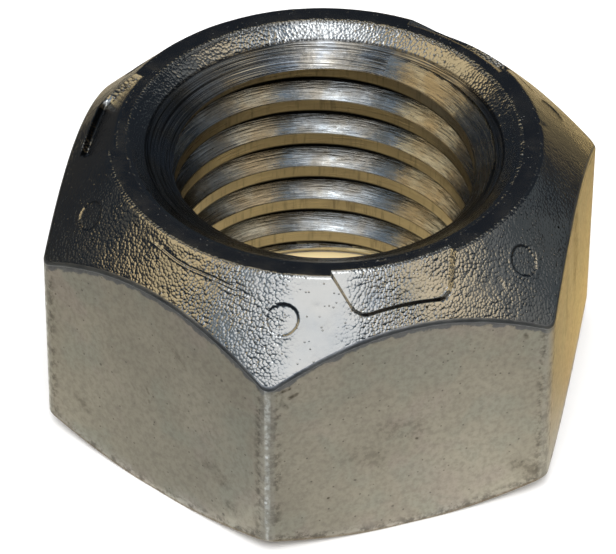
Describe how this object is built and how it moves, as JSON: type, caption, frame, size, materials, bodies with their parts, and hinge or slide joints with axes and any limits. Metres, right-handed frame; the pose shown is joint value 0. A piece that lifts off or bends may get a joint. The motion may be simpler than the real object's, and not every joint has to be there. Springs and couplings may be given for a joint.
{
  "type": "lock nut",
  "caption": "All-metal hex lock nut with a conical top crimped over alternate flats, a rounded rim and a right-hand coarse thread.",
  "frame": {"origin": "centre of the flat bearing face, on the thread's axis", "axes": "+Z along the thread's axis from the bearing face to the crimped conical top; +X through a corner of the hexagon; a crimped flat faces -Y"},
  "size_m": [0.038, 0.0332, 0.0193],
  "materials": {
    "zinc_plated_steel": "satin zinc plate over forged and turned steel, scuffed and a little dirty"
  },
  "bodies": {
    "root": {"lock_nut": "zinc_plated_steel"}
  },
  "joints": []
}
